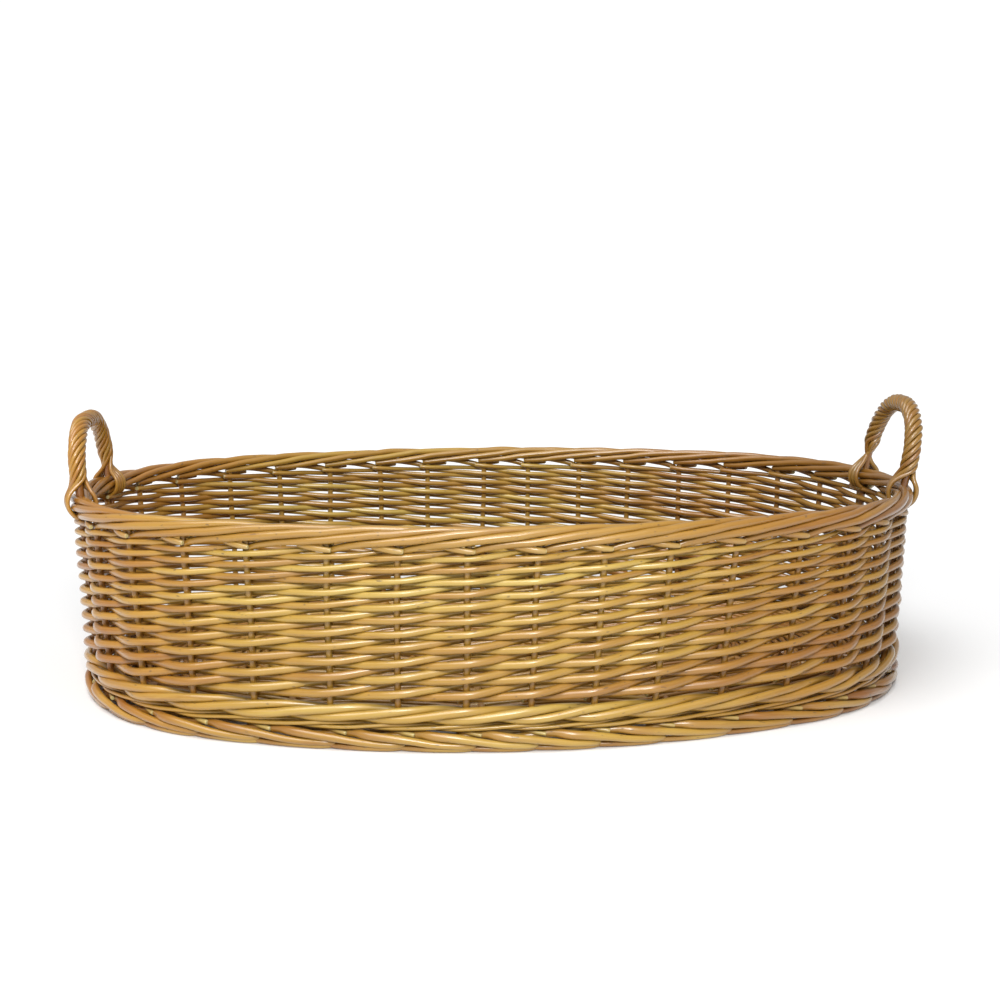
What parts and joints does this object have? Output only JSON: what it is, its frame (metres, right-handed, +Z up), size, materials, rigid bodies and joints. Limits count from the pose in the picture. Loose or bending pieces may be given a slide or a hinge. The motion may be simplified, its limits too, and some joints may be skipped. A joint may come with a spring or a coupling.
{
  "type": "oval wicker basket",
  "caption": "Shallow oval basket of woven willow rods with a raised foot, a rolled rod border and a roped bow handle at each end of its long axis.",
  "frame": {"origin": "on the floor under the middle of the oval", "axes": "+X along the long axis towards the right-hand handle, +Y towards the back wall, +Z up"},
  "size_m": [0.8086, 0.5228, 0.2701],
  "materials": {
    "base_stick": "satin",
    "base_weave": "satin",
    "stake": "gloss",
    "wale": "gloss",
    "weaver": "gloss",
    "foot": "gloss",
    "border": "gloss",
    "bow": "satin",
    "handle_strand": "gloss"
  },
  "bodies": {
    "root": {"base_long_stick_1": "base_stick", "base_long_stick_2": "base_stick", "base_long_stick_3": "base_stick", "base_long_stick_4": "base_stick", "base_cross_stick_1": "base_stick", "base_cross_stick_2": "base_stick", "base_cross_stick_3": "base_stick", "base_cross_stick_4": "base_stick", "base_cross_stick_5": "base_stick", "base_cross_stick_6": "base_stick", "base_cross_stick_7": "base_stick", "base_cross_stick_8": "base_stick", "base_mat": "base_weave", "stakes_right": "stake", "stakes_back": "stake", "stakes_left": "stake", "stakes_front": "stake", "wale_rod_1": "wale", "wale_rod_2": "wale", "wale_rod_3": "wale", "weavers_01": "weaver", "weavers_02": "weaver", "weavers_03": "weaver", "weavers_04": "weaver", "weavers_05": "weaver", "weavers_06": "weaver", "weavers_07": "weaver", "weavers_08": "weaver", "weavers_09": "weaver", "weavers_10": "weaver", "weavers_11": "weaver", "weavers_12": "weaver", "foot_rods_right": "foot", "foot_rods_back": "foot", "foot_rods_left": "foot", "foot_rods_front": "foot", "border_rods_right": "border", "border_rods_back": "border", "border_rods_left": "border", "border_rods_front": "border", "left_bow": "bow", "right_bow": "bow", "left_bow_strands": "handle_strand", "right_bow_strands": "handle_strand", "left_handle_ties": "handle_strand", "right_handle_ties": "handle_strand"}
  },
  "joints": []
}
